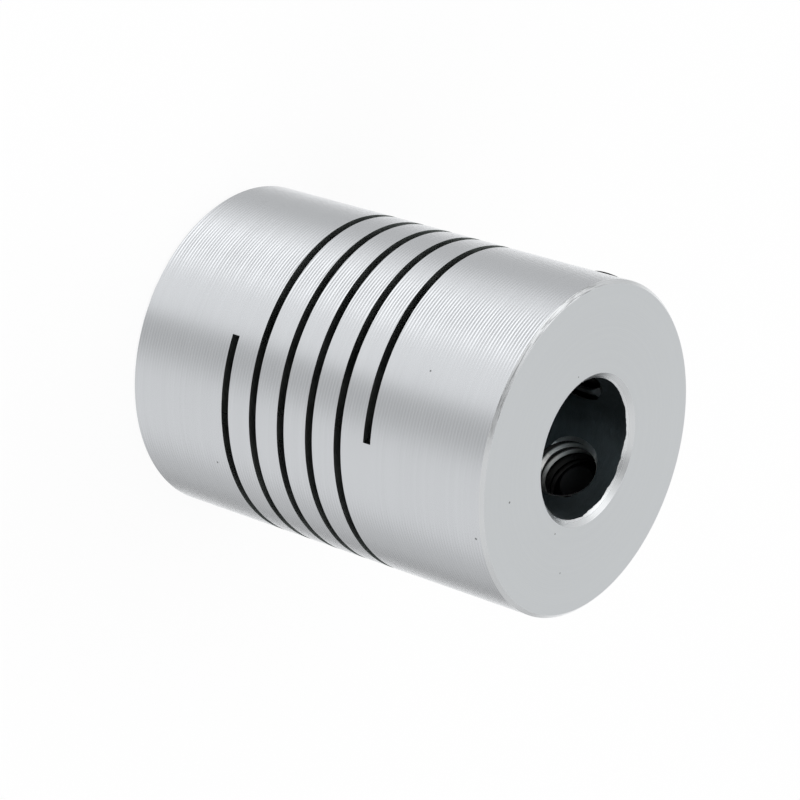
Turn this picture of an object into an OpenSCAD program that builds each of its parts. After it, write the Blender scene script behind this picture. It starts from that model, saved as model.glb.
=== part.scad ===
// Flexible shaft coupling of the helical beam kind, with four set screws.
// The origin is the centre of the lower end face, and the shafts' axis is Z.
// The upper bore takes the larger shaft and the lower bore the smaller one.

/* [Body] */
// Outer diameter of the body
body_d = 19; // [16:0.5:30]
// Length of the body along the shafts
body_len = 25; // [24:0.5:40]
// Chamfer on both outer edges
edge_chamfer = 0.2; // [0.1:0.05:0.8]

/* [Bores] */
// Diameter of the upper bore
upper_bore_d = 8; // [6:0.5:10]
// Depth of the upper bore, down to its shoulder
upper_bore_depth = 12.5; // [8:0.5:16]
// Diameter of the lower bore, which runs up to that shoulder
lower_bore_d = 5; // [3:0.5:5.5]
// Chamfer on the mouth of each bore
bore_chamfer = 0.35; // [0.1:0.05:0.8]

/* [Helical slit] */
// Width of the slit along the axis
slit_w = 0.5; // [0.3:0.05:0.8]
// Rise of the slit in one turn
slit_pitch = 2.03; // [1.6:0.01:2.3]
// Turns of slit to be seen on the outer surface
slit_turns = 5.06; // [3:0.01:5.5]
// Height of the middle of the slit above the middle of the body
slit_offset = -0.5; // [-0.8:0.1:0.8]
// Direction round the axis in which the lowest end of the slit lies
slit_start_angle = 198; // [0:1:359]
// How far the saw reaches past the wall of the lower bore
saw_overcut = 0.3; // [0.1:0.05:0.6]
// Diameter of the saw, which shapes the rising floor at each end of the slit
saw_d = 40; // [30:1:60]

/* [Set screws] */
// Nominal thread diameter of the set screws
screw_d = 4; // [3:0.5:4.5]
// Length of the set screws
screw_len = 4; // [3:0.5:5]
// Distance of each pair of screws from its own end face
screw_inset = 3.4; // [2.8:0.1:4]
// Radial clearance between a screw and its tapped hole
thread_clearance = 0.05; // [0.02:0.01:0.15]
// Countersink at the outer mouth of each tapped hole
mouth_chamfer = 0.2; // [0.1:0.05:0.4]
// Size across the flats of the hexagon socket
socket_flats = 2; // [1.3:0.1:2.2]
// Depth of the hexagon socket
socket_depth = 1.8; // [1:0.1:2.2]
// Chamfer at the socket end of a screw
head_chamfer = 0.15; // [0.1:0.05:0.6]
// Diameter of the ring that bites into the shaft at the cup point
cup_d = 2; // [1.2:0.1:2.4]
// How far the upper screw along Y stands out of the body
upper_y_proud = 0.15; // [0:0.05:0.6]

/* [Hidden] */
$fn = 96;

body_colour = [0.80, 0.82, 0.84];
screw_colour = [0.10, 0.10, 0.11];

body_r = body_d / 2;
upper_bore_r = upper_bore_d / 2;
lower_bore_r = lower_bore_d / 2;
shoulder_z = body_len - upper_bore_depth;

// The screws of a pair stand at right angles, one along X and one along Y
screw_r = screw_d / 2;
screw_angle_x = 0;
screw_angle_y = 90;
upper_screw_z = body_len - screw_inset;
lower_screw_z = screw_inset;
tapped_hole_r = screw_r + thread_clearance;

// The cup and the bottom of the socket are cones of this half angle
cone_half_angle = 60;
cup_depth = cup_d / 2 / tan(cone_half_angle);
socket_corner_r = socket_flats / 2 / cos(30);
socket_cone_depth = socket_flats / 2 / tan(cone_half_angle);
// The cutters run this far past the surfaces that they open
cut_past = 0.1;
// Outside the body, the slit's cutter ends this far past the surface
slit_cut_past = 1;

// The saw stands square to the axis and its rim passes the axis at the floor radius
saw_r = saw_d / 2;
slit_floor_r = lower_bore_r - saw_overcut;
saw_centre_r = slit_floor_r + saw_r;
// The rim stops rising where it points straight away from the axis
rim_top_r = min(body_r + cut_past, sqrt(saw_centre_r * saw_centre_r - saw_r * saw_r));
rim_top_angle = acos((saw_centre_r * saw_centre_r + saw_r * saw_r - rim_top_r * rim_top_r)
    / (2 * saw_centre_r * saw_r));
rim_steps = 10;
turn_step = 7.5;
slit_angle = 360 * slit_turns;
slit_start_z = body_len / 2 + slit_offset - slit_pitch * slit_turns / 2;
full_depth_from = rim_direction(rim_top_angle);
full_depth_to = slit_angle - full_depth_from;
full_depth_steps = ceil((full_depth_to - full_depth_from) / turn_step);

// A point of the saw's rim, at this angle about the saw's centre from its deepest point:
// its direction about the body's axis from that deepest point, and its radius there
function rim_x(rim_angle) = saw_centre_r - saw_r * cos(rim_angle);
function rim_y(rim_angle) = saw_r * sin(rim_angle);
function rim_direction(rim_angle) = atan2(rim_y(rim_angle), rim_x(rim_angle));
function rim_radius(rim_angle) = norm([rim_x(rim_angle), rim_y(rim_angle)]);

// Each station of the slit is its angle from the slit's start and the radius of its floor
entry_stations = [for (step = [rim_steps : -1 : 1])
    let (rim_angle = rim_top_angle * step / rim_steps)
    [full_depth_from - rim_direction(rim_angle), rim_radius(rim_angle)]];
full_depth_stations = [for (step = [0 : full_depth_steps])
    [full_depth_from + (full_depth_to - full_depth_from) * step / full_depth_steps, slit_floor_r]];
exit_stations = [for (step = [1 : rim_steps])
    let (rim_angle = rim_top_angle * step / rim_steps)
    [full_depth_to + rim_direction(rim_angle), rim_radius(rim_angle)]];
stations = concat(entry_stations, full_depth_stations, exit_stations);

// The four corners of the slit's section at one station
function section(station) =
    let (turned = slit_start_angle + station[0],
        middle_z = slit_start_z + slit_pitch * station[0] / 360,
        outer_r = body_r + slit_cut_past)
    [for (corner = [[station[1], -1], [outer_r, -1], [outer_r, 1], [station[1], 1]])
        [corner[0] * cos(turned), corner[0] * sin(turned), middle_z + corner[1] * slit_w / 2]];

// Two triangles for each side of the slit between this station and the next
function side_faces(index) =
    [for (side = [0 : 3], half = [0, 1])
        let (near = 4 * index + side,
            near_next = 4 * index + (side + 1) % 4)
        half == 0 ? [near, near_next, near_next + 4] : [near, near_next + 4, near + 4]];

module helical_slit() {
    points = [for (station = stations) each section(station)];
    last = 4 * (len(stations) - 1);
    faces = concat(
        [[3, 2, 1, 0]],
        [for (index = [0 : len(stations) - 2]) each side_faces(index)],
        [[last, last + 1, last + 2, last + 3]]);
    polyhedron(points = points, faces = faces, convexity = 12);
}

// Moves what points along Z with its top at the origin to one screw's place
module at_screw(angle, height, proud = 0) {
    translate([0, 0, height])
        rotate([0, 90, angle])
            translate([0, 0, body_r + proud])
                children();
}

// From the bore's space out to the surface, with a countersunk mouth
module tapped_hole() {
    translate([0, 0, -body_r])
        cylinder(r = tapped_hole_r, h = body_r + cut_past);
    translate([0, 0, -mouth_chamfer])
        cylinder(r1 = tapped_hole_r, r2 = tapped_hole_r + mouth_chamfer + cut_past,
            h = mouth_chamfer + cut_past);
}

// The outer cylinder and both bores, all turned about one axis
module turned_blank() {
    rotate_extrude()
        polygon([
            [lower_bore_r + bore_chamfer, 0],
            [body_r - edge_chamfer, 0],
            [body_r, edge_chamfer],
            [body_r, body_len - edge_chamfer],
            [body_r - edge_chamfer, body_len],
            [upper_bore_r + bore_chamfer, body_len],
            [upper_bore_r, body_len - bore_chamfer],
            [upper_bore_r, shoulder_z],
            [lower_bore_r, shoulder_z],
            [lower_bore_r, bore_chamfer]]);
}

module coupling_body() {
    color(body_colour)
        difference() {
            turned_blank();
            for (height = [lower_screw_z, upper_screw_z], angle = [screw_angle_x, screw_angle_y])
                at_screw(angle, height) tapped_hole();
            helical_slit();
        }
}

// A socket set screw with a cup point, its socket end at the origin and its point below
module set_screw() {
    color(screw_colour)
        difference() {
            rotate_extrude()
                polygon([
                    [0, cup_depth - screw_len],
                    [cup_d / 2, -screw_len],
                    [screw_r, screw_r - cup_d / 2 - screw_len],
                    [screw_r, -head_chamfer],
                    [screw_r - head_chamfer, 0],
                    [0, 0]]);
            translate([0, 0, -socket_depth])
                cylinder(r = socket_corner_r, h = socket_depth + cut_past, $fn = 6);
            translate([0, 0, -socket_depth - socket_cone_depth])
                cylinder(r1 = 0, r2 = socket_flats / 2, h = socket_cone_depth);
        }
}

module upper_set_screw_x() {
    at_screw(screw_angle_x, upper_screw_z) set_screw();
}

module upper_set_screw_y() {
    at_screw(screw_angle_y, upper_screw_z, upper_y_proud) set_screw();
}

module lower_set_screw_x() {
    at_screw(screw_angle_x, lower_screw_z) set_screw();
}

module lower_set_screw_y() {
    at_screw(screw_angle_y, lower_screw_z) set_screw();
}

coupling_body();
upper_set_screw_x();
upper_set_screw_y();
lower_set_screw_x();
lower_set_screw_y();
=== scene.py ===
"""Dresses a flexible shaft coupling of the helical beam kind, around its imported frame.

The body is turned from bar, bored from both ends, slit by a saw along a helix and tapped for four
set screws. Lengths are in metres and angles in radians unless a name says degrees, and every piece
is made in the frame's own axes, with the shafts along Z.
"""

import sys

import logging
import math
from collections.abc import Iterable
from dataclasses import dataclass
from enum import Enum

import bpy
from mathutils import Matrix, Vector


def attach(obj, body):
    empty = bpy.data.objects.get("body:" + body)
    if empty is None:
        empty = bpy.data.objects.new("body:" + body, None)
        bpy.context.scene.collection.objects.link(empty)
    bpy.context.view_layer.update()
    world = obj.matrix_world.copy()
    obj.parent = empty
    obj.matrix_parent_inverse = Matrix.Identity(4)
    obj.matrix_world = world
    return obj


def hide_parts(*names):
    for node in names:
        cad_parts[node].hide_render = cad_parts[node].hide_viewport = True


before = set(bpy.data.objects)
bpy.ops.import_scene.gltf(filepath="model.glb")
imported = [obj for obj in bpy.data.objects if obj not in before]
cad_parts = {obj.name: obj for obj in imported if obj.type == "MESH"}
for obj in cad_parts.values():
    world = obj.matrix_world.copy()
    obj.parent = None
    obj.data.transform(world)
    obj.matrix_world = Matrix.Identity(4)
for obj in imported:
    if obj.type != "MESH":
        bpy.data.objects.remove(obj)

MM = 0.001
BLACK = (0.0, 0.0, 0.0, 1.0)
WHITE = (1.0, 1.0, 1.0, 1.0)
REGION = "region"
log = logging.getLogger("coupling")


class Region(Enum):
    """The ways in which the parts' surfaces were cut."""

    TURNED = 0
    FACED = 1
    CHAMFERED = 2
    BORED = 3
    SAWN = 4
    TAPPED = 5
    BLACKED = 6
    THREADED = 7


class Along(Enum):
    """The direction in which the lathe's tool moved, across which its lines lie."""

    AXIS = "axis"
    RADIUS = "radius"


# Node trees written as sums


class Wire:
    """A value in a node tree. Arithmetic written with it becomes Math nodes."""

    def __init__(self, tree: "Tree", socket: bpy.types.NodeSocket) -> None:
        """Keeps the tree and the output socket that the value comes from."""
        self.tree, self.socket = tree, socket

    def out(self, name: str | int) -> "Wire":
        """Another output of the same node."""
        return Wire(self.tree, self.socket.node.outputs[name])

    def __add__(self, other: "Feed") -> "Wire":
        """This value plus the other."""
        return self.tree.maths("ADD", self, other)

    def __sub__(self, other: "Feed") -> "Wire":
        """This value less the other."""
        return self.tree.maths("SUBTRACT", self, other)

    def __rsub__(self, other: "Feed") -> "Wire":
        """The other less this value."""
        return self.tree.maths("SUBTRACT", other, self)

    def __mul__(self, other: "Feed") -> "Wire":
        """This value times the other."""
        return self.tree.maths("MULTIPLY", self, other)

    def __truediv__(self, other: "Feed") -> "Wire":
        """This value over the other."""
        return self.tree.maths("DIVIDE", self, other)

    def __rtruediv__(self, other: "Feed") -> "Wire":
        """The other over this value."""
        return self.tree.maths("DIVIDE", other, self)

    __radd__ = __add__
    __rmul__ = __mul__


Feed = Wire | float | int | str | bool | tuple | list


class Tree:
    """Builds a node tree, geometry or shader, from calls that read like a recipe."""

    OCTAVES = 2.0
    FINE_OCTAVES = 3.0

    def __init__(self, tree: bpy.types.NodeTree) -> None:
        """Wraps a Blender node tree."""
        self.tree = tree

    def add(self, kind: str, inputs: dict[str | int, Feed] | None = None, out: str | int = 0,
            **settings: str | bool) -> Wire:
        """Adds one node.

        Args:
            kind: The node's type.
            inputs: What each input gets: a value, a wire, or a list of wires.
            out: The output that the wire returned comes from.
            **settings: The node's own properties.

        Returns:
            The wire from that output.
        """
        node = self.tree.nodes.new(kind)
        for name, value in settings.items():
            setattr(node, name, value)
        for name, value in (inputs or {}).items():
            self.feed(node.inputs[name], value)
        return Wire(self, node.outputs[out]) if len(node.outputs) else Wire(self, node.inputs[0])

    def feed(self, socket: bpy.types.NodeSocket, value: Feed) -> None:
        """Gives an input its value, or links it.

        Args:
            socket: The input.
            value: A plain value, a wire, or a list of wires.
        """
        wires = value if isinstance(value, list) else [value]
        for one in wires:
            if isinstance(one, Wire):
                self.tree.links.new(one.socket, socket)
            else:
                socket.default_value = one

    def maths(self, operation: str, *values: Feed) -> Wire:
        """A Math node on up to three values."""
        return self.add("ShaderNodeMath", dict(enumerate(values)), operation=operation)

    def clamped(self, value: Wire) -> Wire:
        """The value held between nought and one."""
        return self.add("ShaderNodeClamp", {"Value": value})

    def vector(self, x: Feed, y: Feed, z: Feed) -> Wire:
        """A vector from its three parts."""
        return self.add("ShaderNodeCombineXYZ", {"X": x, "Y": y, "Z": z})

    def parts(self, vector: Wire) -> tuple[Wire, Wire, Wire]:
        """The three parts of a vector."""
        x = self.add("ShaderNodeSeparateXYZ", {0: vector})
        return x, x.out("Y"), x.out("Z")

    def length(self, x: Wire, y: Wire) -> Wire:
        """The length of the hypotenuse over two sides."""
        return self.maths("SQRT", x * x + y * y)

    def noise(self, place: Wire, scale: float = 1.0, octaves: float = OCTAVES) -> Wire:
        """Soft noise round a half, over places in space."""
        return self.add("ShaderNodeTexNoise", {"Vector": place, "Scale": scale, "Detail": octaves})

    def ramp(self, value: Wire, low: Feed, high: Feed) -> Wire:
        """A smooth rise from nought at the low value to one at the high one."""
        return self.add("ShaderNodeMapRange", {"Value": value, "From Min": low, "From Max": high},
                        interpolation_type="SMOOTHSTEP")


class Group(Tree):
    """A shader node group with named inputs and outputs, built once and placed in many materials."""

    def __init__(self, name: str, inputs: dict[str, float | None], outputs: dict[str, str]) -> None:
        """Makes the group.

        Args:
            name: The group's name.
            inputs: Each input's name and value; None stands for a vector.
            outputs: Each output's name and socket type.
        """
        super().__init__(bpy.data.node_groups.new(name, "ShaderNodeTree"))
        for key, value in inputs.items():
            kind = "NodeSocketVector" if value is None else "NodeSocketFloat"
            socket = self.tree.interface.new_socket(key, in_out="INPUT", socket_type=kind)
            if value is not None:
                socket.default_value = value
        for key, kind in outputs.items():
            self.tree.interface.new_socket(key, in_out="OUTPUT", socket_type=kind)
        self.entry = self.add("NodeGroupInput")
        self.exit = self.tree.nodes.new("NodeGroupOutput")

    def place(self, tree: Tree, **inputs: Feed) -> Wire:
        """Puts this group in a material's tree.

        Args:
            tree: The material's tree.
            **inputs: The group's inputs by name, with underscores for spaces.

        Returns:
            The wire from its first output.
        """
        node = tree.tree.nodes.new("ShaderNodeGroup")
        node.node_tree = self.tree
        for name, value in inputs.items():
            tree.feed(node.inputs[name.replace("_", " ")], value)
        return Wire(tree, node.outputs[0])


class Shape(Tree):
    """A geometry node tree with named sizes, and the steps that turned and threaded parts share."""

    ROUND = 64
    FINE_ROUND = 256
    HUB = 1 * MM
    WELD = 0.0005 * MM
    CREST_HALF = 1 / 16
    FLANK_DEGREES = 30

    def __init__(self, name: str) -> None:
        """Makes an empty tree that puts out one geometry.

        Args:
            name: The name of the tree and of the piece.
        """
        super().__init__(bpy.data.node_groups.new(name, "GeometryNodeTree"))
        self.tree.interface.new_socket("Geometry", in_out="OUTPUT", socket_type="NodeSocketGeometry")
        self.values: dict[str, float] = {}
        self.name = name

    def sizes(self, **values: float) -> list[Wire]:
        """Adds named inputs to the tree.

        Args:
            **values: What the modifier will be given for each, by name, with underscores for spaces.

        Returns:
            Their wires, in the same order.
        """
        names = [name.replace("_", " ").capitalize() for name in values]
        for name, value in zip(names, values.values()):
            socket = self.tree.interface.new_socket(name, in_out="INPUT", socket_type="NodeSocketFloat")
            self.values[socket.identifier] = value
        entry = self.add("NodeGroupInput")
        return [entry.out(name) for name in names]

    def marked(self, mesh: Wire, region: Region | Wire) -> Wire:
        """Writes on each face how it was cut."""
        value = region if isinstance(region, Wire) else region.value
        return self.add("GeometryNodeStoreNamedAttribute", {
            "Geometry": mesh, "Name": REGION, "Value": value}, data_type="INT", domain="FACE")

    def moved(self, geometry: Wire, position: Wire) -> Wire:
        """Gives every point the position that a rule says."""
        return self.add("GeometryNodeSetPosition", {"Geometry": geometry, "Position": position})

    def outline(self, points: list[tuple[Feed, Feed]], closed: bool) -> Wire:
        """A flat curve through points.

        Args:
            points: The points in order, each as a width and a height.
            closed: Whether the last point joins the first.

        Returns:
            The curve.
        """
        choice = self.tree.nodes.new("GeometryNodeIndexSwitch")
        choice.data_type = "VECTOR"
        while len(choice.index_switch_items) < len(points):
            choice.index_switch_items.new()
        self.feed(choice.inputs["Index"], self.add("GeometryNodeInputIndex"))
        for number, (width, height) in enumerate(points):
            self.feed(choice.inputs[str(number)], self.vector(width, height, 0.0))
        line = self.add("GeometryNodeMeshLine", {"Count": len(points)})
        placed = self.moved(line, Wire(self, choice.outputs[0]))
        curve = self.add("GeometryNodeMeshToCurve", {"Mesh": placed})
        return self.add("GeometryNodeSetSplineCyclic", {"Geometry": curve, "Cyclic": closed})

    def swept(self, path: Wire, profile: Wire, capped: bool = False) -> Wire:
        """A profile carried along a path, its width pointing away from the Z axis."""
        upright = self.add("GeometryNodeSetCurveNormal", {"Curve": path}, mode="Z_UP")
        return self.add("GeometryNodeCurveToMesh",
                        {"Curve": upright, "Profile Curve": profile, "Fill Caps": capped})

    def turned(self, points: list[tuple[Feed, Feed]], closed: bool, segments: int) -> Wire:
        """A lathe's work: points given as radius and height, carried once round the Z axis.

        Args:
            points: The section, with its solid side on the left as it is followed.
            closed: Whether the section is a ring, or else starts and ends on the axis.
            segments: The number of steps in one turn.

        Returns:
            The closed mesh.
        """
        circle = self.add("GeometryNodeCurvePrimitiveCircle", {
            "Resolution": segments, "Radius": self.HUB})
        section = [(radius - self.HUB, height * -1.0) for radius, height in reversed(points)]
        mesh = self.swept(circle, self.outline(section, closed))
        return self.add("GeometryNodeMergeByDistance", {"Geometry": mesh, "Distance": self.WELD})

    def rod(self, radius: Feed, low: Feed, high: Feed, tip_radius: Feed | None = None,
            sides: int = ROUND) -> Wire:
        """A rod or cone along Z.

        Args:
            radius: Its radius, at its low end if it is a cone.
            low: Height of its low end.
            high: Height of its high end.
            tip_radius: Radius at its high end, where that is another.
            sides: The number of its sides.

        Returns:
            The closed mesh.
        """
        top = radius if tip_radius is None else tip_radius
        mesh = self.add("GeometryNodeMeshCone", {
            "Vertices": sides, "Radius Top": top, "Radius Bottom": radius, "Depth": high - low})
        return self.raised(mesh, low)

    def raised(self, geometry: Wire, height: Feed) -> Wire:
        """The geometry moved up by a height."""
        return self.add("GeometryNodeTransform", {
            "Geometry": geometry, "Translation": self.vector(0.0, 0.0, height)})

    def ridge(self, major: Wire, root: Wire, pitch: Wire, start: Wire, turns: float) -> Wire:
        """One right-hand thread ridge, with flanks at sixty degrees to each other.

        Args:
            major: Radius of the crest.
            root: Radius at which the ridge starts, inside its core.
            pitch: Rise in one turn.
            start: Height at which the ridge starts.
            turns: How many turns it makes.

        Returns:
            The capped ridge.
        """
        reach = major - root
        crest_half = pitch * self.CREST_HALF
        root_half = crest_half + reach * math.tan(math.radians(self.FLANK_DEGREES))
        path = self.add("GeometryNodeCurveSpiral", {
            "Resolution": self.ROUND, "Rotations": turns, "Start Radius": root, "End Radius": root,
            "Height": pitch * turns, "Reverse": True})
        section = self.outline([
            (0.0, root_half * -1.0), (reach, crest_half * -1.0),
            (reach, crest_half), (0.0, root_half)], True)
        return self.raised(self.swept(path, section, True), start)

    def cut(self, blank: Wire, cutters: list[Wire], operation: str = "DIFFERENCE") -> Wire:
        """Cuts one closed shape by others.

        Args:
            blank: The shape to be cut.
            cutters: The others.
            operation: DIFFERENCE takes them off, UNION adds them, INTERSECT keeps what all share.

        Returns:
            The closed result.
        """
        fields = {"Mesh 1": blank} if operation == "DIFFERENCE" else {}
        others = cutters if operation == "DIFFERENCE" else [blank, *cutters]
        return self.add("GeometryNodeMeshBoolean", fields | {"Mesh 2": others}, operation=operation,
                        solver="MANIFOLD")

    def made(self, geometry: Wire, finishes: dict[Region, bpy.types.Material]) -> bpy.types.Object:
        """Ends the tree and turns its result into a plain mesh.

        Args:
            geometry: The finished shape, with each face's region written on it.
            finishes: The material of each region.

        Returns:
            A new object that holds the mesh and has no modifier.
        """
        real = self.add("GeometryNodeRealizeInstances", {"Geometry": geometry})
        for region, material in finishes.items():
            written = self.add("GeometryNodeInputNamedAttribute", {"Name": REGION}, data_type="INT")
            chosen = self.add("FunctionNodeCompare", {
                2: written, 3: region.value}, data_type="INT", operation="EQUAL")
            real = self.add("GeometryNodeSetMaterial", {
                "Geometry": real, "Selection": chosen, "Material": material})
        self.add("NodeGroupOutput", {"Geometry": real})
        piece = bpy.data.objects.new(self.name, bpy.data.meshes.new(self.name + "_start"))
        bpy.context.scene.collection.objects.link(piece)
        modifier = piece.modifiers.new("shape", "NODES")
        modifier.node_group = self.tree
        for identifier, value in self.values.items():
            modifier[identifier] = value
        piece.update_tag()
        graph = bpy.context.evaluated_depsgraph_get()
        mesh = bpy.data.meshes.new_from_object(piece.evaluated_get(graph))
        piece.modifiers.clear()
        piece.data = mesh
        mesh.name = self.name
        while None in mesh.materials[:]:
            mesh.materials.pop(index=mesh.materials[:].index(None))
        return piece


# Finishes


class Patterns:
    """The shader groups that more than one finish uses."""

    SLOW_STEP = 0.31
    DASH_STEP = 0.7
    DASH_LENGTH = 0.9 * MM
    SPECK_SHARE = 0.045

    def __init__(self) -> None:
        """Builds each group once."""
        self.tool_lines = self._tool_lines()
        self.specks = self._specks()

    def _tool_lines(self) -> Group:
        """The lines that a lathe's tool leaves, one for each turn of the work.

        Returns:
            The group. Its Wander lets lines differ in place and depth, and Broken in depth along a line.
        """
        group = Group("tool lines", {
            "Place": None, "Along": 0.0, "Feed": 0.2 * MM, "Wander": 0.3, "Broken": 0.0},
            {"Height": "NodeSocketFloat", "Tone": "NodeSocketFloat"})
        place, along, feed, wander, broken = (
            group.entry.out(name) for name in ("Place", "Along", "Feed", "Wander", "Broken"))
        count = along / feed
        slow = group.add("ShaderNodeTexNoise", {
            "W": count * self.SLOW_STEP, "Scale": 1.0, "Detail": Tree.OCTAVES}, noise_dimensions="1D")
        count = count + (slow - 0.5) * wander
        scallop = group.maths("FRACT", count) * 2.0 - 1.0
        number = group.maths("FLOOR", count)
        each = group.add("ShaderNodeTexWhiteNoise", {"W": number}, noise_dimensions="1D")
        x, y, _ = group.parts(place)
        spot = group.vector(x / self.DASH_LENGTH, y / self.DASH_LENGTH, count * self.DASH_STEP)
        dashes = group.noise(spot)
        depth = (1.0 - each * wander) * (1.0 + (dashes - 0.5) * broken)
        group.feed(group.exit.inputs["Height"], scallop * scallop * depth)
        group.feed(group.exit.inputs["Tone"], each * 0.5 + slow * 0.5)
        return group

    def _specks(self) -> Group:
        """Small pits and dull spots strewn over a surface.

        Returns:
            The group. Its Amount is the share of the places that have one.
        """
        group = Group("specks", {
            "Place": None, "Spacing": 1 * MM, "Amount": 0.1}, {"Mask": "NodeSocketFloat"})
        place, spacing, amount = (group.entry.out(name) for name in ("Place", "Spacing", "Amount"))
        cells = group.add("ShaderNodeTexVoronoi", {"Vector": place, "Scale": 1.0 / spacing})
        chance = group.parts(cells.out("Color"))[0]
        near = group.clamped((self.SPECK_SHARE - cells) / (self.SPECK_SHARE / 2))
        group.feed(group.exit.inputs["Mask"], near * group.maths("LESS_THAN", chance, amount))
        return group


@dataclass(frozen=True)
class Mark:
    """A small dent from handling, with dirt in it, in millimetres."""

    centre: tuple[float, float, float]
    radius: float

    def depth(self, tree: Tree, place: Wire) -> Wire:
        """Nought outside the dent, rising to one half way to its middle."""
        off = tree.add("ShaderNodeVectorMath", {
            0: place, 1: Vector(self.centre) * MM}, out="Value", operation="DISTANCE")
        return tree.clamped((self.radius * MM - off) / (self.radius * MM / 2))


@dataclass(frozen=True)
class Finish:
    """A metal surface as one way of working leaves it; some also carry painted shade."""

    name: str
    colour: tuple[float, float, float]
    roughness: float
    anisotropy: float = 0.0
    across: float = 0.0
    metallic: float = 1.0
    along: Along = Along.AXIS
    feed: float = 0.2 * MM
    groove: float = 0.0
    wander: float = 0.3
    broken: float = 0.0
    grain: float = 0.0
    grain_size: float = 0.15 * MM
    nicks: float = 0.0
    # Painted shade in a tapped thread's roots and over the turns next to the screw's tip
    root_residue: float = 0.0
    tip_residue: float = 0.0
    # Painted shade, darker towards +Y
    oiled: float = 0.0
    marks: tuple[Mark, ...] = ()
    tone: float = 0.1
    speck_spacing: float = 1.6 * MM
    specks: float = 0.03

    CLOUDS_PER_METRE = 420.0
    LINE_SHARE = 0.6
    SPECK_SHADE = 0.35
    SPECK_ROUGHNESS = 0.3
    SPECK_DEPTH = 0.004 * MM
    MARK_DARKNESS = 0.7
    NICK_LENGTH = 1.1 * MM
    NICK_WIDTH = 0.09 * MM
    NICK_DEPTH = 0.006 * MM
    NICK_THRESHOLD = 0.45
    NICK_CONTRAST = 5.0
    KNOCKED_DEGREES = 168.0
    KNOCKED_FACING = (0.74, 0.88)
    # Where the painted shade towards +Y starts and ends, and how far its edge wanders
    OILED_REACH = (2.6 * MM, 4.6 * MM)
    OIL_WANDER = 2 * MM
    ROOT_SHARES = (0.3, 0.6)
    TIP_REACH = (-0.7 * MM, -0.35 * MM)
    TIP_PAST = 1 * MM

    def material(self, patterns: Patterns) -> bpy.types.Material:
        """Builds the material.

        Args:
            patterns: The shared shader groups.

        Returns:
            The material, named after the finish.
        """
        material = bpy.data.materials.new(self.name)
        material.use_nodes = True
        material.node_tree.nodes.clear()
        tree = Tree(material.node_tree)
        place = tree.add("ShaderNodeTexCoord", out="Object")
        x, y, z = tree.parts(place)
        along = z if self.along is Along.AXIS else tree.length(x, y)
        lines = patterns.tool_lines.place(
            tree, Place=place, Along=along, Feed=self.feed, Wander=self.wander, Broken=self.broken)
        specks = patterns.specks.place(tree, Place=place, Spacing=self.speck_spacing, Amount=self.specks)
        cloud = tree.noise(place, self.CLOUDS_PER_METRE, Tree.FINE_OCTAVES)
        tone = lines.out("Tone") * self.LINE_SHARE + cloud * (1.0 - self.LINE_SHARE)
        shade = 1.0 - (1.0 - tone) * self.tone - specks * self.SPECK_SHADE
        nicks = self._nicks(tree, place) if self.nicks else None
        if nicks:
            shade = shade - nicks * self.nicks
        # Painted shade: darker thread roots, and darker turns next to the screw's tip deep in the hole
        if self.root_residue or self.tip_residue:
            shade = shade * (1.0 - self._residue(tree, place))
        # Painted shade: darker towards +Y, over the top of the bore and the +Y holes
        if self.oiled:
            reach = tree.ramp(y + cloud * self.OIL_WANDER, *self.OILED_REACH)
            shade = shade * (1.0 - reach * self.oiled)
        for mark in self.marks:
            shade = shade - mark.depth(tree, place) * self.MARK_DARKNESS
        colour = tree.add("ShaderNodeMix", {
            "Factor": shade, 6: BLACK, 7: (*self.colour, 1.0)}, out=2, data_type="RGBA")
        rough = tree.clamped((1.0 - tone) * self.tone + self.roughness + specks * self.SPECK_ROUGHNESS)
        cut = tree.add("ShaderNodeBump", {"Distance": self.groove, "Height": lines})
        if self.grain:
            grain = tree.noise(place, 1 / self.grain_size)
            cut = tree.add("ShaderNodeBump", {
                "Distance": self.grain, "Height": grain, "Normal": cut})
        if nicks:
            cut = tree.add("ShaderNodeBump", {
                "Distance": self.NICK_DEPTH, "Height": nicks, "Normal": cut}, invert=True)
        pitted = tree.add("ShaderNodeBump", {
            "Distance": self.SPECK_DEPTH, "Height": specks, "Normal": cut}, invert=True)
        round_axis = tree.add("ShaderNodeTangent", direction_type="RADIAL", axis="Z")
        shader = tree.add("ShaderNodeBsdfPrincipled", {
            "Base Color": colour, "Roughness": rough, "Metallic": self.metallic, "Normal": pitted,
            "Anisotropic": self.anisotropy, "Anisotropic Rotation": self.across, "Tangent": round_axis})
        tree.add("ShaderNodeOutputMaterial", {"Surface": shader})
        return material

    def _nicks(self, tree: Tree, place: Wire) -> Wire:
        """Streaks along the outer edge, on the side where it was knocked.

        Args:
            tree: The material's tree.
            place: The place on the object.

        Returns:
            How deep a streak is there, from nought to one.
        """
        x, y, z = tree.parts(place)
        across = (tree.length(x, y) - z) / self.NICK_WIDTH
        spot = tree.vector(x / self.NICK_LENGTH, y / self.NICK_LENGTH, across)
        streaks = tree.noise(spot, octaves=Tree.FINE_OCTAVES)
        towards = math.radians(self.KNOCKED_DEGREES)
        facing = (x * math.cos(towards) + y * math.sin(towards)) / Sizes().body_r
        knocked = tree.ramp(facing, *self.KNOCKED_FACING)
        return tree.clamped((streaks - self.NICK_THRESHOLD) * self.NICK_CONTRAST) * knocked

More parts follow.
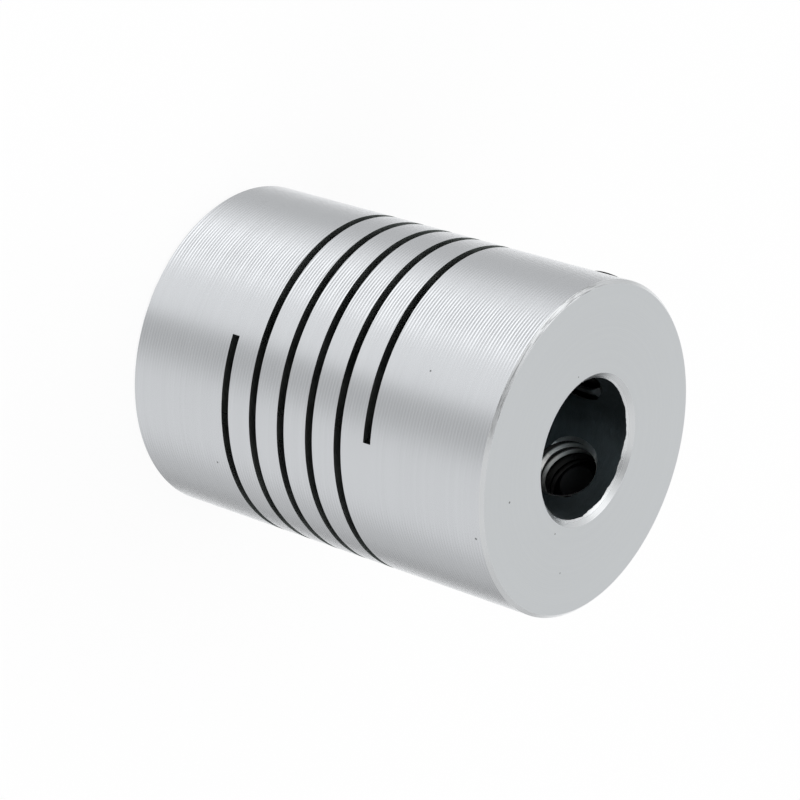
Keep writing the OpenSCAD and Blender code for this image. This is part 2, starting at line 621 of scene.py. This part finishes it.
    def _residue(self, tree: Tree, place: Wire) -> Wire:
        """Painted shade in the root of a tapped thread, and over the turns next to the screw's tip.

        Args:
            tree: The material's tree.
            place: The place on the object.

        Returns:
            How dark the painted shade makes it, from nought to one.
        """
        sizes = Sizes()
        land, root = sizes.thread.hole_minor, sizes.thread.hole_major
        x, y, z = tree.parts(place)
        across, along = tree.maths("ABSOLUTE", x), tree.maths("ABSOLUTE", y)
        up = tree.maths("ABSOLUTE", z - sizes.body_len / 2) - (sizes.body_len / 2 - sizes.screw_inset)
        off_axis = tree.length(tree.maths("MINIMUM", across, along), up)
        in_root = tree.ramp(off_axis, *(land + (root - land) * share for share in self.ROOT_SHARES))
        depth = tree.maths("MAXIMUM", across, along)
        near_tip = tree.ramp(depth, *(sizes.screw_tip + reach for reach in self.TIP_REACH))
        inside = tree.maths("LESS_THAN", depth, sizes.screw_tip + self.TIP_PAST)
        return tree.maths("MAXIMUM", in_root * self.root_residue, near_tip * inside * self.tip_residue)


TURNED = Finish(
    "turned_side", (0.819, 0.84, 0.867), 0.20, 0.6, groove=0.008 * MM, wander=0.22, broken=0.3,
    tone=0.045, marks=(
        Mark((-4.64, -8.29, 24.48), 0.09),
        Mark((-3.93, -8.65, 6.01), 0.08),
        Mark((-9.33, -1.77, 20.02), 0.07)))
FACED = Finish(
    "faced_end", (0.775, 0.80, 0.815), 0.42, 0.2, along=Along.RADIUS, feed=0.11 * MM, groove=0.0012 * MM,
    tone=0.03, grain=0.0012 * MM, grain_size=0.09 * MM, marks=(
        Mark((-4.27, -5.67, 25.0), 0.08),
        Mark((0.96, -4.81, 25.0), 0.06),
        Mark((-4.19, 2.29, 25.0), 0.05)))
CHAMFERED = Finish(
    "broken_edge", (0.915, 0.935, 0.95), 0.20, groove=0.004 * MM, feed=0.07 * MM, wander=0.9, tone=0.15,
    specks=0.2, speck_spacing=1.2 * MM, grain=0.006 * MM, grain_size=0.1 * MM, nicks=0.4)
# The bore wall's dark colour is painted shade inside the bore
BORED = Finish(
    "bored_wall", (0.40, 0.47, 0.50), 0.34, 0.3, feed=0.16 * MM, groove=0.003 * MM, tone=0.2, oiled=0.6)
# The slit walls' dark colour is painted shade in the slit
SAWN = Finish(
    "sawn_slit", (0.36, 0.39, 0.38), 0.20, 0.85, across=0.25, feed=0.05 * MM, groove=0.002 * MM,
    wander=0.9, tone=0.2)
# Painted shade darkens these lands next to the screw's tip and towards +Y
TAPPED = Finish(
    "tapped_land", (0.95, 0.95, 0.94), 0.24, feed=0.05 * MM, groove=0.001 * MM, tone=0.15, oiled=0.6,
    tip_residue=0.97)
# Painted shade darkens the thread's roots, the turns next to the screw's tip, and towards +Y
THREADED = Finish(
    "thread_groove", (0.97, 0.96, 0.93), 0.24, feed=0.05 * MM, groove=0.001 * MM, tone=0.15, oiled=0.6,
    root_residue=0.96, tip_residue=0.97)
BLACKED = Finish(
    "black_oxide", (0.014, 0.015, 0.017), 0.44, metallic=0.6, feed=0.06 * MM, groove=0.001 * MM, tone=0.25)


# The coupling's parts


@dataclass(frozen=True)
class Thread:
    """The set screws' coarse metric thread, held at the same phase in the body and on the screws."""

    pitch: float = 0.7 * MM
    hole_major: float = 2.03 * MM
    hole_minor: float = 1.63 * MM
    screw_major: float = 1.97 * MM
    screw_core: float = 1.55 * MM
    overlap: float = 0.08 * MM


@dataclass(frozen=True)
class Sizes:
    """The sizes that the body and its screws share, as the part's source has them."""

    body_r: float = 9.5 * MM
    body_len: float = 25 * MM
    screw_inset: float = 3.4 * MM
    screw_tip: float = 5.5 * MM
    upper_bore_r: float = 4 * MM
    lower_bore_r: float = 2.5 * MM
    thread: Thread = Thread()


@dataclass(frozen=True)
class HelicalBody:
    """The turned, bored, slit and tapped body."""

    sizes: Sizes = Sizes()
    edge_chamfer: float = 0.2 * MM
    bore_chamfer: float = 0.35 * MM
    upper_bore_depth: float = 12.5 * MM
    slit_w: float = 0.5 * MM
    slit_pitch: float = 2.03 * MM
    slit_turns: float = 5.06
    slit_offset: float = -0.5 * MM
    slit_start_degrees: float = 198
    saw_r: float = 20 * MM
    saw_overcut: float = 0.3 * MM
    mouth_chamfer: float = 0.2 * MM
    tapped_r: float = 2.05 * MM
    tap_turns: float = 13.0
    tap_turns_past: float = 1.0
    edge_break: float = 0.25 * MM
    edge_waves: float = 0.36 * MM
    edge_tolerance: float = 0.005 * MM
    wave_length: float = 0.8 * MM
    cut_past: float = 0.1 * MM
    slit_cut_past: float = 1 * MM
    turn_steps: int = 240
    rim_steps: int = 12

    # The least upward parts of a flat face's unit normal and of a bevelled one's
    FLAT_RISE = 0.9
    SLOPED_RISE = 0.3
    # A tool's hidden side lies this many times cut_past behind the surface
    BEHIND = 3.0
    SHARP_DEGREES = 32

    def build(self, materials: dict[Region, bpy.types.Material]) -> bpy.types.Object:
        """Makes the body.

        Args:
            materials: The material of each region.

        Returns:
            The finished piece.
        """
        shape = Shape("helical_body")
        cutters = [self._slit(shape)]
        for name, height, bore_r in (
                ("lower", self.sizes.screw_inset, self.sizes.lower_bore_r),
                ("upper", self.sizes.body_len - self.sizes.screw_inset, self.sizes.upper_bore_r)):
            cutters += self._tapped_pair(shape, name, height, bore_r)
        body = shape.cut(self._blank(shape), cutters)
        piece = shape.made(body, {
            region: material for region, material in materials.items() if region is not Region.BLACKED})
        self._true_normals(piece.data)
        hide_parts("coupling_body")
        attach(piece, "root")
        return piece

    def _blank(self, shape: Shape) -> Wire:
        """The bar, turned outside and bored from both ends, with its edges chamfered.

        The inner edge of the upper bore's chamfer wanders a little up and down the bore's wall.

        Args:
            shape: The body's tree.

        Returns:
            The closed blank, with each face's region written on it.
        """
        body_r, length, upper_r, lower_r, depth, edge, mouth = shape.sizes(
            body_radius=self.sizes.body_r, body_length=self.sizes.body_len,
            upper_bore_radius=self.sizes.upper_bore_r, lower_bore_radius=self.sizes.lower_bore_r,
            upper_bore_depth=self.upper_bore_depth, edge_chamfer=self.edge_chamfer,
            bore_chamfer=self.bore_chamfer)
        shoulder = length - depth
        mesh = shape.turned([
            (lower_r + mouth, 0.0), (body_r - edge, 0.0), (body_r, edge), (body_r, length - edge),
            (body_r - edge, length), (upper_r + mouth, length), (upper_r, length - mouth),
            (upper_r, shoulder), (lower_r, shoulder), (lower_r, mouth)], True, Shape.FINE_ROUND)
        x, y, z = shape.parts(shape.add("GeometryNodeInputPosition"))
        rise = shape.maths("ABSOLUTE", shape.parts(shape.add("GeometryNodeInputNormal"))[2])
        flat = shape.maths("GREATER_THAN", rise, self.FLAT_RISE)
        sloped = shape.maths("GREATER_THAN", rise, self.SLOPED_RISE) - flat
        inside = shape.maths("LESS_THAN", shape.length(x, y), (body_r + upper_r) / 2.0)
        region = flat * Region.FACED.value + sloped * Region.CHAMFERED.value
        marked = shape.marked(mesh, region + (1.0 - flat - sloped) * inside * Region.BORED.value)
        off_edge = shape.maths("ABSOLUTE", z - (length - mouth))
        at_edge = shape.maths("LESS_THAN", off_edge, self.edge_tolerance)
        waves = shape.noise(shape.vector(x, y, 0.0), 1 / self.wave_length, Tree.FINE_OCTAVES)
        worn = z + (waves - 0.5) * self.edge_waves * at_edge * inside
        return shape.moved(marked, shape.vector(x, y, worn))

    def _slit(self, shape: Shape) -> Wire:
        """The saw's path: a slit that climbs round the body and rises to the surface at each end.

        A box with one row of points for each station along the slit is bent onto the helix. The saw
        stands square to the axis, so the floor at each end follows the saw's own rim.

        Args:
            shape: The body's tree.

        Returns:
            The closed cutter.
        """
        body_r, width, pitch, turns, middle, start, saw_r, floor_r, past = shape.sizes(
            slit_body_radius=self.sizes.body_r, slit_width=self.slit_w, slit_pitch=self.slit_pitch,
            slit_turns=self.slit_turns, slit_middle=self.sizes.body_len / 2 + self.slit_offset,
            slit_start=math.radians(self.slit_start_degrees), saw_radius=self.saw_r,
            slit_floor=self.sizes.lower_bore_r - self.saw_overcut, cut_past=self.cut_past)
        centre = floor_r + saw_r
        rim_r = shape.maths("SQRT", centre * centre - saw_r * saw_r)
        top_r = shape.maths("MINIMUM", body_r + past, rim_r)
        cosine = (centre * centre + saw_r * saw_r - top_r * top_r) / (centre * saw_r * 2.0)
        top_angle = shape.maths("ARCCOSINE", cosine)

        def rim(angle: Wire) -> tuple[Wire, Wire]:
            """The direction and radius, about the body's axis, of a point of the saw's rim."""
            out, aside = centre - saw_r * shape.maths("COSINE", angle), saw_r * shape.maths("SINE", angle)
            return shape.maths("ARCTAN2", aside, out), shape.length(out, aside)

        rows = self.rim_steps * 2 + self.turn_steps + 1
        box = shape.add("GeometryNodeMeshCube", {"Vertices X": rows, "Vertices Y": 2, "Vertices Z": 2})
        x, y, z = shape.parts(shape.add("GeometryNodeInputPosition"))
        row = (x + 0.5) * (rows - 1)
        entry = shape.clamped((self.rim_steps - row) / self.rim_steps)
        leaving = shape.clamped((row - (self.rim_steps + self.turn_steps)) / self.rim_steps)
        done = shape.clamped((row - self.rim_steps) / self.turn_steps)
        full_from = rim(top_angle)[0]
        whole = turns * math.tau
        direction, radius = rim(top_angle * (entry + leaving))
        way = shape.maths("SIGN", leaving) - shape.maths("SIGN", entry)
        angle = full_from + (whole - full_from * 2.0) * done + direction * way
        outer = shape.maths("LESS_THAN", y, 0.0)
        reach = radius + (body_r + self.slit_cut_past - radius) * outer
        height = middle + pitch * (angle / math.tau - turns / 2.0) + width * z
        cosine, sine = (shape.maths(name, start + angle) for name in ("COSINE", "SINE"))
        point = shape.vector(reach * cosine, reach * sine, height)
        return shape.marked(shape.moved(box, point), Region.SAWN)

    def _tapped_pair(self, shape: Shape, name: str, height: float, bore_r: float) -> list[Wire]:
        """The cutters for one hub's two tapped holes, which stand at right angles.

        Args:
            shape: The body's tree.
            name: Which hub.
            height: Height of the holes' axes.
            bore_r: Radius of the bore that they break into.

        Returns:
            One set of instances for each tool: drill, tap, countersink and deburring tool.
        """
        thread = self.sizes.thread
        body_r, high, bore, minor, major, pitch, mouth, hole, past, broken = shape.sizes(**{
            f"{name}_hole_{key}": value for key, value in {
                "body_radius": self.sizes.body_r, "height": height, "bore_radius": bore_r,
                "minor_radius": thread.hole_minor, "major_radius": thread.hole_major,
                "pitch": thread.pitch, "mouth_chamfer": self.mouth_chamfer, "radius": self.tapped_r,
                "cut_past": self.cut_past, "edge_break": self.edge_break}.items()})
        behind = past * self.BEHIND
        drill = shape.rod(minor, 0.0, body_r + behind)
        lead = body_r + pitch * (self.tap_turns_past - self.tap_turns)
        tap = shape.ridge(major, minor - thread.overlap, pitch, lead, self.tap_turns)
        sink = shape.rod(hole, body_r - mouth, body_r + past, hole + mouth + past)
        ring = shape.add("GeometryNodeCurvePrimitiveCircle", {"Resolution": Shape.ROUND, "Radius": minor})
        x, y, _ = shape.parts(shape.add("GeometryNodeInputPosition"))
        saddle = shape.moved(ring, shape.vector(x, y, shape.maths("SQRT", bore * bore - y * y)))
        corner = shape.outline([
            (broken + past, past), (behind * -1.0, behind), (past * -1.0, broken * -1.0 - past)], True)
        deburr = shape.swept(saddle, corner)
        spots = shape.add("GeometryNodeMeshLine", {
            "Count": 2, "Start Location": shape.vector(0.0, 0.0, high), "Offset": (0.0, 0.0, 0.0)})
        turn = shape.vector(0.0, math.pi / 2, shape.add("GeometryNodeInputIndex") * (math.pi / 2))
        return [shape.add("GeometryNodeInstanceOnPoints", {
            "Points": spots, "Instance": shape.marked(tool, region), "Rotation": turn})
            for tool, region in ((drill, Region.TAPPED), (tap, Region.THREADED), (sink, Region.TAPPED),
                                 (deburr, Region.TAPPED))]

    def _true_normals(self, mesh: bpy.types.Mesh) -> None:
        """Shades what the lathe cut as the exact round it is, so that cuts through it leave no dents.

        Args:
            mesh: The body's mesh.
        """
        mesh.shade_smooth()
        mesh.set_sharp_from_angle(angle=math.radians(self.SHARP_DEGREES))
        slope = math.sqrt(0.5)
        normals = []
        for face in mesh.polygons:
            kind = mesh.materials[face.material_index].name
            for corner in face.loop_indices:
                place = mesh.vertices[mesh.loops[corner].vertex_index].co
                away = Vector((place.x, place.y, 0.0)).normalized()
                if kind == TURNED.name:
                    normals.append(away)
                elif kind == BORED.name:
                    normals.append(-away)
                elif kind == FACED.name:
                    normals.append(Vector((0.0, 0.0, math.copysign(1.0, face.normal.z))))
                elif kind == CHAMFERED.name:
                    out = math.copysign(slope, face.normal.dot(away))
                    normals.append(away * out + Vector((0.0, 0.0, math.copysign(slope, face.normal.z))))
                else:
                    normals.append(Vector((0.0, 0.0, 0.0)))
        mesh.normals_split_custom_set(normals)


@dataclass(frozen=True)
class SocketScrew:
    """A set screw with a hexagon socket and a cup point, seen in place in its tapped hole."""

    name: str
    node: str
    height: float
    turn_degrees: float
    socket_turn_degrees: float
    proud: float = 0.0
    sizes: Sizes = Sizes()
    length: float = 4 * MM
    envelope_r: float = 2 * MM
    head_chamfer: float = 0.15 * MM
    cup_r: float = 1 * MM
    socket_flats: float = 2 * MM
    socket_depth: float = 1.8 * MM
    cone_degrees: float = 60
    ridge_turns: float = 9.0
    ridge_turns_past: float = 2.0
    cut_past: float = 0.3 * MM
    drill_past: float = 0.015 * MM

    SHARP_DEGREES = 28

    def build(self, materials: dict[Region, bpy.types.Material]) -> bpy.types.Object:
        """Makes the screw.

        Args:
            materials: The material of each region.

        Returns:
            The finished piece.
        """
        shape = Shape(self.name)
        thread = self.sizes.thread
        body_r, top, length, outer_r, head, cup, flats, depth, past, core, major, pitch = shape.sizes(
            body_radius=self.sizes.body_r, socket_end=self.sizes.body_r + self.proud,
            screw_length=self.length, screw_radius=self.envelope_r,
            head_chamfer=self.head_chamfer, cup_radius=self.cup_r, socket_flats=self.socket_flats,
            socket_depth=self.socket_depth, cut_past=self.cut_past, core_radius=thread.screw_core,
            thread_radius=thread.screw_major, thread_pitch=thread.pitch)
        slope = math.tan(math.radians(self.cone_degrees))
        tip = top - length
        envelope = shape.turned([
            (0.0, tip + cup / slope), (cup, tip), (outer_r, tip + outer_r - cup),
            (outer_r, top - head), (outer_r - head, top), (0.0, top)], False, Shape.ROUND)
        lead = body_r + pitch * (self.ridge_turns_past - self.ridge_turns)
        ridge = shape.ridge(major, core - thread.overlap, pitch, lead, self.ridge_turns)
        threaded = shape.cut(shape.rod(core, tip - past, top + past), [ridge], "UNION")
        solid = shape.cut(threaded, [envelope], "INTERSECT")
        floor = top - depth
        hexagon = shape.rod(flats / math.sqrt(3), floor, top + past, sides=6)
        hexagon = shape.add("GeometryNodeTransform", {
            "Geometry": hexagon, "Rotation": (0.0, 0.0, math.radians(self.socket_turn_degrees))})
        drilled = shape.rod(0.0, floor - flats / 2.0 / slope, floor + self.drill_past, flats / 2.0)
        socketed = shape.cut(solid, [hexagon, drilled])
        placed = shape.add("GeometryNodeTransform", {
            "Geometry": shape.marked(socketed, Region.BLACKED), "Translation": (0.0, 0.0, self.height),
            "Rotation": (0.0, math.pi / 2, math.radians(self.turn_degrees))})
        piece = shape.made(placed, {Region.BLACKED: materials[Region.BLACKED]})
        piece.data.shade_smooth()
        piece.data.set_sharp_from_angle(angle=math.radians(self.SHARP_DEGREES))
        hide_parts(self.node)
        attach(piece, "root")
        return piece


# The studio


@dataclass(frozen=True)
class Softbox:
    """A soft panel that stands round the object and shows in its metal. A dark one takes light away."""

    azimuth_degrees: float
    half_width_degrees: float
    edge_degrees: float
    brightness: float
    elevation_degrees: float = -40.0
    half_height_degrees: float = 34.0
    height_edge_degrees: float = 24.0


@dataclass(frozen=True)
class Lamp:
    """A square soft lamp that points at the object."""

    name: str
    azimuth_degrees: float
    elevation_degrees: float
    distance: float
    side: float
    level: float


@dataclass(frozen=True)
class Studio:
    """A pale floor, soft light all round, and the camera at the photograph's viewing angle."""

    floor_side: float = 8.0
    floor_colour: tuple[float, float, float, float] = (0.95, 0.95, 0.95, 1.0)
    backdrop_share: float = 0.90
    fill: float = 0.55
    sky: float = 0.72
    ground: float = 0.53
    horizon_degrees: tuple[float, float] = (0.0, 18.0)
    # Those below the horizon show in the turned side, and those above it in the bevelled edges
    panels: tuple[Softbox, ...] = (
        Softbox(20, 18, 24, 0.56),
        Softbox(174, 19, 9, 0.30),
        Softbox(262, 22, 29, 0.20),
        Softbox(345, 4, 16, -0.23),
        Softbox(112, 4, 16, 0.30),
        Softbox(136, 10, 14, 0.06),
        Softbox(137, 9, 20, 0.86, -40, 1, 9),
        Softbox(212, 8, 16, -0.09, -38, 4, 14),
        Softbox(115, 16, 14, 0.48, 36, 14, 8),
        Softbox(190, 12, 14, -0.46, 53, 12, 8),
        Softbox(322, 20, 24, -0.11, 22, 8, 12),
        Softbox(340, 8, 12, 0.16, 6, 6, 6))
    lamps: tuple[Lamp, ...] = (
        Lamp("key_lamp", 250, 55, 0.6, 0.5, 0.30),
        Lamp("side_lamp", 60, 50, 0.7, 0.6, 0.22),
        Lamp("back_lamp", 150, 60, 0.7, 0.6, 0.20))
    target: tuple[float, float, float] = (0.143 * MM, -0.393 * MM, 11.974 * MM)
    camera_distance: float = 183.33 * MM
    camera_azimuth_degrees: float = 200.0
    camera_elevation_degrees: float = 35.60
    camera_roll_degrees: float = 107.288
    lens: float = 145.7436
    sensor: float = 36.0
    clip: tuple[float, float] = (1 * MM, 20.0)

    def build(self) -> None:
        """Sets up everything that isn't part of the object."""
        bpy.context.scene.view_settings.view_transform = "Standard"
        self._camera()
        self._floor()
        self._lamps()
        self._surroundings()

    @staticmethod
    def _towards(azimuth_degrees: float, elevation_degrees: float) -> Vector:
        """The unit vector in a direction round Z and above the floor."""
        turn, rise = math.radians(azimuth_degrees), math.radians(elevation_degrees)
        return Vector((math.cos(turn) * math.cos(rise), math.sin(turn) * math.cos(rise), math.sin(rise)))

    def _camera(self) -> None:
        """The camera, rolled so that the shafts' axis lies in the picture as in the photograph."""
        data = bpy.data.cameras.new("camera")
        data.lens, data.sensor_width = self.lens, self.sensor
        data.clip_start, data.clip_end = self.clip
        back = self._towards(self.camera_azimuth_degrees, self.camera_elevation_degrees)
        level = Vector((0.0, 0.0, 1.0)).cross(back).normalized()
        right = Matrix.Rotation(math.radians(self.camera_roll_degrees), 3, back) @ level
        turn = Matrix((right, back.cross(right), back)).transposed().to_4x4()
        camera = bpy.data.objects.new("camera", data)
        camera.matrix_world = Matrix.Translation(Vector(self.target) + back * self.camera_distance) @ turn
        bpy.context.scene.collection.objects.link(camera)
        bpy.context.scene.camera = camera

    def _floor(self) -> None:
        """A plain pale floor that keeps the object's shadow; the metal sees the panels through it."""
        material = bpy.data.materials.new("pale_floor")
        material.use_nodes = True
        material.node_tree.nodes.clear()
        tree = Tree(material.node_tree)
        matt = tree.add("ShaderNodeBsdfDiffuse", {"Color": self.floor_colour})
        white = tree.add("ShaderNodeEmission", {"Color": WHITE})
        ray = tree.add("ShaderNodeLightPath", out="Is Camera Ray")
        share = tree.maths("MAXIMUM", ray, ray.out("Is Transmission Ray")) * self.backdrop_share
        shown = tree.add("ShaderNodeMixShader", {0: share, 1: matt, 2: white})
        glass = tree.add("ShaderNodeBsdfTransparent")
        both = tree.add("ShaderNodeMixShader", {0: ray.out("Is Glossy Ray"), 1: shown, 2: glass})
        tree.add("ShaderNodeOutputMaterial", {"Surface": both})
        half = self.floor_side / 2
        mesh = bpy.data.meshes.new("floor")
        square = [(-half, -half, 0.0), (half, -half, 0.0), (half, half, 0.0), (-half, half, 0.0)]
        mesh.from_pydata(square, [], [(0, 1, 2, 3)])
        mesh.materials.append(material)
        floor = bpy.data.objects.new("floor", mesh)
        bpy.context.scene.collection.objects.link(floor)

    def _lamps(self) -> None:
        """The soft lamps. Together with the fill they make a colour render as it is written."""
        for lamp in self.lamps:
            data = bpy.data.lights.new(lamp.name, "AREA")
            data.shape, data.size = "SQUARE", lamp.side
            data.energy = lamp.level * math.pi ** 2 * lamp.distance ** 2
            light = bpy.data.objects.new(lamp.name, data)
            away = self._towards(lamp.azimuth_degrees, lamp.elevation_degrees)
            light.location = away * lamp.distance
            light.rotation_mode = "QUATERNION"
            light.rotation_quaternion = away.to_track_quat("Z", "Y")
            light.visible_camera = light.visible_glossy = False
            bpy.context.scene.collection.objects.link(light)

    def _surroundings(self) -> None:
        """White behind the object, a plain fill, and the soft panels that the metal mirrors."""
        world = bpy.data.worlds.new("soft_studio")
        bpy.context.scene.world = world
        world.use_nodes = True
        world.node_tree.nodes.clear()
        tree = Tree(world.node_tree)
        x, y, z = tree.parts(tree.add("ShaderNodeTexCoord", out="Generated"))
        azimuth = tree.maths("ARCTAN2", y, x)
        elevation = tree.maths("ARCSINE", z)
        low, high = (math.sin(math.radians(edge)) for edge in self.horizon_degrees)
        above = tree.ramp(z, low, high)
        panels: Feed = 0.0
        for panel in self.panels:
            off = tree.maths("ABSOLUTE", tree.maths(
                "WRAP", azimuth - math.radians(panel.azimuth_degrees), math.pi, -math.pi))
            up_off = tree.maths("ABSOLUTE", elevation - math.radians(panel.elevation_degrees))
            panels = panels + (
                self._faded(tree, off, panel.half_width_degrees, panel.edge_degrees)
                * self._faded(tree, up_off, panel.half_height_degrees, panel.height_edge_degrees)
                * panel.brightness)
        mirrored = panels + self.ground + above * (self.sky - self.ground)
        ray = tree.add("ShaderNodeLightPath", out="Is Camera Ray")
        white = tree.maths("MAXIMUM", ray, ray.out("Is Transmission Ray"))
        gloss = ray.out("Is Glossy Ray")
        level = white + gloss * mirrored + (1.0 - white - gloss) * self.fill
        background = tree.add("ShaderNodeBackground", {"Color": WHITE, "Strength": level})
        tree.add("ShaderNodeOutputWorld", {"Surface": background})

    @staticmethod
    def _faded(tree: Tree, off: Wire, inner_degrees: float, edge_degrees: float) -> Wire:
        """One within an angle of a panel's middle, then falling smoothly to nought."""
        inner = math.radians(inner_degrees)
        return 1.0 - tree.ramp(off, inner, inner + math.radians(edge_degrees))


def main() -> None:
    """Builds the studio, the body and the screws."""
    logging.basicConfig(level=logging.INFO, format="%(name)s: %(message)s", stream=sys.stdout)
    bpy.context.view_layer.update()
    Studio().build()
    patterns = Patterns()
    # One for each region, in the same order
    finishes = (TURNED, FACED, CHAMFERED, BORED, SAWN, TAPPED, BLACKED, THREADED)
    materials = {region: finish.material(patterns) for region, finish in zip(Region, finishes)}
    sizes = Sizes()
    high = sizes.body_len - sizes.screw_inset
    parts = [
        HelicalBody(sizes),
        SocketScrew("upper_socket_screw_x", "upper_set_screw_x", high, 0, 11),
        SocketScrew("upper_socket_screw_y", "upper_set_screw_y", high, 90, 34, 0.15 * MM),
        SocketScrew("lower_socket_screw_x", "lower_set_screw_x", sizes.screw_inset, 0, 52),
        SocketScrew("lower_socket_screw_y", "lower_set_screw_y", sizes.screw_inset, 90, 23)]
    for part in parts:
        piece = part.build(materials)
        piece.data.calc_loop_triangles()
        log.info("%s: %d triangles, %d materials", piece.name, len(piece.data.loop_triangles),
                 len(piece.data.materials))


if __name__ == "__main__":
    main()
